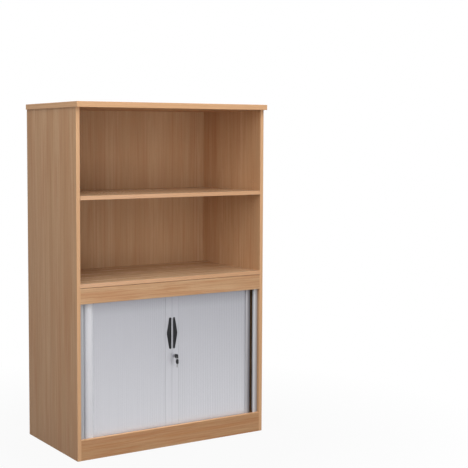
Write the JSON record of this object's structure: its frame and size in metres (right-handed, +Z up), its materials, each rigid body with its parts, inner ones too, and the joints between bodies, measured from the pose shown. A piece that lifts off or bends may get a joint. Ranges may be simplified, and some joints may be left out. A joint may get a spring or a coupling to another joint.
{
  "type": "tambour filing cabinet",
  "caption": "Tall beech office cabinet with open shelving above a cupboard closed by sideways-sliding silver slatted doors, with a lock and a pull-out filing frame inside.",
  "frame": {"origin": "middle of the base, on the floor", "axes": "+Z up, the doors and open bays face -Y, +X to the right as seen from the front"},
  "size_m": [1.02, 0.55, 1.6],
  "materials": {
    "beech": "satin beech-effect laminate",
    "dowel_wood": "raw beech",
    "silver_slats": "satin silver-grey extruded plastic",
    "silver_trim": "satin silver-grey extruded plastic",
    "grey_track": "satin grey",
    "black_plastic": "satin black",
    "zinc_steel": "bright zinc",
    "nickel": "nickel plate",
    "slate_steel": "satin slate-blue powder coat",
    "bright_slide": "bright zinc",
    "black_slide": "black zinc"
  },
  "bodies": {
    "carcass": {"top_panel": "beech", "left_side": "beech", "right_side": "beech", "back_panel": "beech", "fixed_shelf": "beech", "adjustable_shelf": "beech", "shelf_pins": "zinc_steel", "fascia_rail": "beech", "base_panel": "beech", "plinth": "beech", "rear_plinth": "beech", "panel_dowels": "dowel_wood", "back_screws": "zinc_steel", "left_liner": "beech", "right_liner": "beech", "left_corner_post": "silver_trim", "right_corner_post": "silver_trim", "left_edge_trim": "silver_trim", "right_edge_trim": "silver_trim", "trim_screws": "zinc_steel", "bottom_front_track": "grey_track", "top_front_track": "grey_track", "bottom_side_tracks": "grey_track", "top_side_tracks": "grey_track", "track_screws": "zinc_steel", "left_bend_slats": "silver_slats", "right_bend_slats": "silver_slats", "left_slide_outer": "black_slide", "right_slide_outer": "black_slide", "slide_screws": "zinc_steel"},
    "left_door": {"left_stile": "silver_slats", "left_handle": "black_plastic", "left_handle_screws": "zinc_steel", "lock_keeper": "zinc_steel", "left_curtain": "silver_slats"},
    "right_door": {"right_stile": "silver_slats", "right_handle": "black_plastic", "right_handle_screws": "zinc_steel", "lock_barrel": "nickel", "lock_nut": "zinc_steel", "right_curtain": "silver_slats"},
    "left_tail": {"left_tail_slats": "silver_slats"},
    "right_tail": {"right_tail_slats": "silver_slats"},
    "turning_lock": {"lock_core": "nickel", "lock_hook": "zinc_steel", "hook_screw": "zinc_steel", "key": "black_plastic", "key_ring": "zinc_steel"},
    "hanging_key": {"spare_key": "black_plastic"},
    "filing_frame": {"frame_front": "slate_steel", "frame_back": "slate_steel", "left_frame_side": "slate_steel", "right_frame_side": "slate_steel", "frame_divider": "slate_steel", "left_slide_inner": "black_slide", "right_slide_inner": "black_slide", "frame_rivets": "zinc_steel"},
    "slide_carriage": {"slide_middles": "bright_slide"}
  },
  "joints": [
    {"name": "left_door_slide", "type": "slide", "parent": "carcass", "child": "left_door", "axis": [-1, 0, 0], "range_m": [0, 0.382], "deforming": ["left_curtain"]},
    {"name": "right_door_slide", "type": "slide", "parent": "carcass", "child": "right_door", "axis": [1, 0, 0], "range_m": [0, 0.382], "deforming": ["right_curtain"]},
    {"name": "left_tail_run", "type": "slide", "parent": "carcass", "child": "left_tail", "axis": [0, 1, 0], "range_m": [0, 0.382]},
    {"name": "right_tail_run", "type": "slide", "parent": "carcass", "child": "right_tail", "axis": [0, 1, 0], "range_m": [0, 0.382]},
    {"name": "key_turn", "type": "hinge", "parent": "right_door", "child": "turning_lock", "pos_m": [0.0125, -0.2305, 0.422], "axis": [0, 1, 0], "range_deg": [0, 90]},
    {"name": "spare_key_swing", "type": "hinge", "parent": "turning_lock", "child": "hanging_key", "pos_m": [0.0125, -0.257, 0.41327], "axis": [0, 1, 0], "range_deg": [-90, 0]},
    {"name": "frame_slide", "type": "slide", "parent": "carcass", "child": "filing_frame", "axis": [0, -1, 0], "range_m": [0, 0.158]},
    {"name": "slide_carriage_run", "type": "slide", "parent": "carcass", "child": "slide_carriage", "axis": [0, -1, 0], "range_m": [0, 0.079]}
  ],
  "couplings": [
    {"joint": "left_tail_run", "follows": "left_door_slide", "ratio": 1},
    {"joint": "right_tail_run", "follows": "right_door_slide", "ratio": 1},
    {"joint": "spare_key_swing", "follows": "key_turn", "ratio": -1},
    {"joint": "slide_carriage_run", "follows": "frame_slide", "ratio": 0.5}
  ]
}
